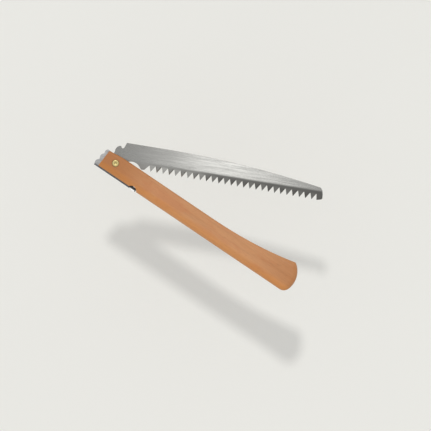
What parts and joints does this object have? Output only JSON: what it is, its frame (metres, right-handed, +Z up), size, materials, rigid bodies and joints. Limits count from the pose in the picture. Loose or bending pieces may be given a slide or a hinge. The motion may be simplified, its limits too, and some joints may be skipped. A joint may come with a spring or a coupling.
{
  "type": "folding pruning saw",
  "caption": "Folding pruning saw, half open: a toothed steel blade on a brass rivet in a slotted wooden handle, with a back lock lever and a finger notch.",
  "frame": {"origin": "middle of the grip on the handle's lower flat side, 100 mm along the handle from the blade's pivot", "axes": "+X along the handle to the butt, +Y towards the toothed side, +Z up through the thickness, parallel to the pivot"},
  "size_m": [0.2328, 0.1082, 0.02],
  "materials": {
    "wood": "oiled beech, satin",
    "blade_steel": "ground and brushed lengthwise",
    "plate_steel": "nickel-bright sheet",
    "dark_steel": "plain turned steel",
    "brass": "satin brass"
  },
  "bodies": {
    "handle": {"wooden_handle": "wood", "front_liner": "plate_steel", "rear_liner": "plate_steel", "lever_pin": "dark_steel", "pivot_rivet": "brass", "rivet_burr": "brass", "pivot_bush": "brass", "front_washer": "brass", "rear_washer": "brass", "closed_stop_pin": "dark_steel", "front_liner_pins": "dark_steel", "rear_liner_pins": "dark_steel"},
    "blade": {"blade": "blade_steel"},
    "lever": {"lock_lever": "plate_steel", "lever_spring": "dark_steel"}
  },
  "joints": [
    {"name": "blade_hinge", "type": "hinge", "parent": "handle", "child": "blade", "pos_m": [-0.1, 0, 0.01], "axis": [0, 0, 1], "range_deg": [-24.8, 118]},
    {"name": "lever_rock", "type": "hinge", "parent": "handle", "child": "lever", "pos_m": [-0.09, -0.0088, 0.01], "axis": [0, 0, 1], "range_deg": [-3, 3.4], "stiffness_Nm_per_rad": 1, "deforming": ["lever_spring"]}
  ]
}
